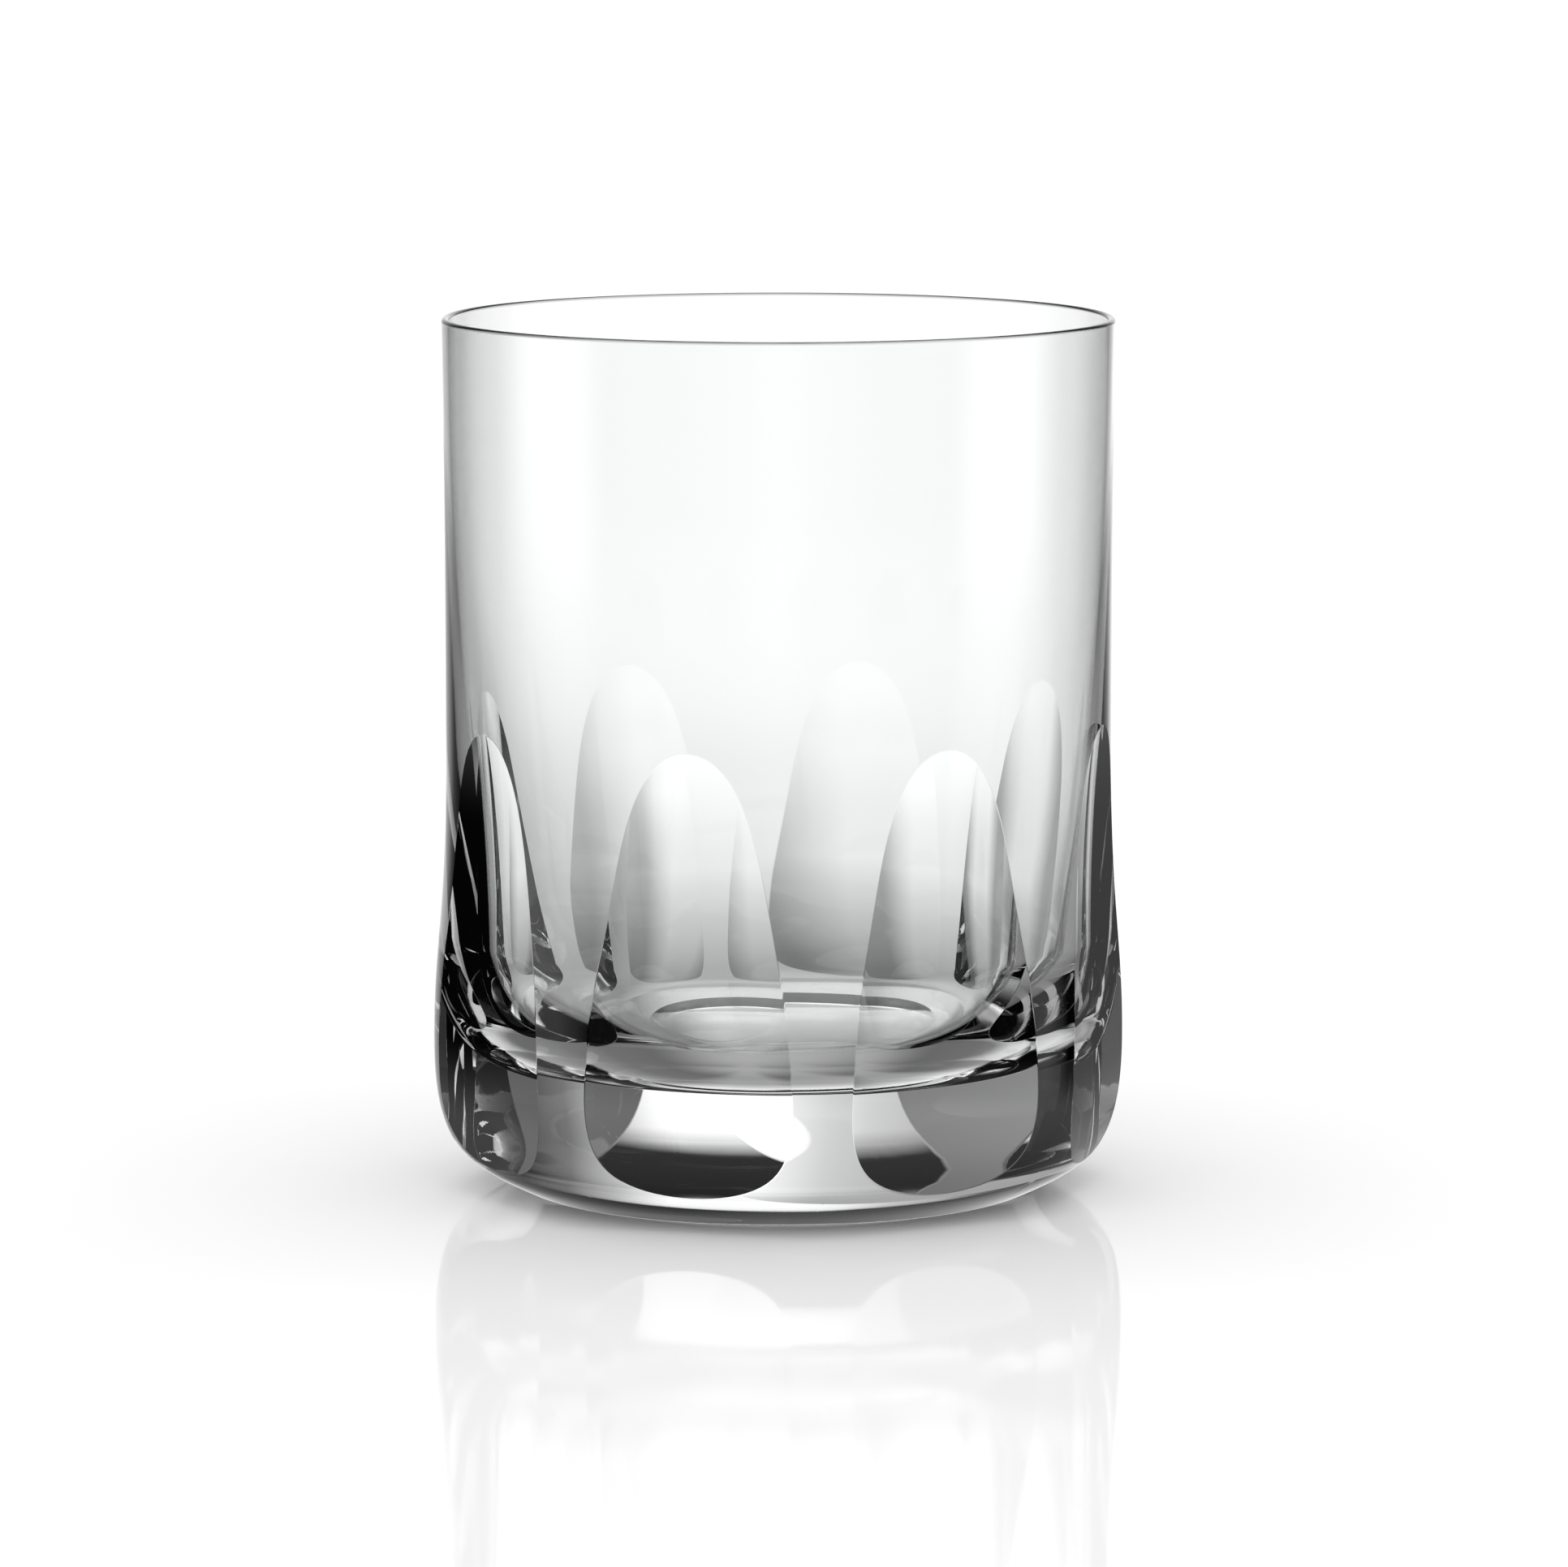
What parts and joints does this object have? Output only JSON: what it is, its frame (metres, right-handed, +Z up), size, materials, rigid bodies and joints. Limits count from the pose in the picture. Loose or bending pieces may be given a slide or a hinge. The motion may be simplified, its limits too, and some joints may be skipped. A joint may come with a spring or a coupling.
{
  "type": "whiskey tumbler",
  "caption": "Straight-sided clear crystal tumbler with a thin rim, a thick solid base and flat olive cuts round its lower half.",
  "frame": {"origin": "centre of the foot, on the surface that the tumbler stands on", "axes": "+Z up along the tumbler's axis, towards the open rim; one cut faces each of +X, -X, +Y and -Y, and four more face the diagonals"},
  "size_m": [0.08, 0.08, 0.104],
  "materials": {
    "crystal": "polished clear lead-free crystal, cuts ground flat and polished"
  },
  "bodies": {
    "root": {"tumbler_body": "crystal"}
  },
  "joints": []
}
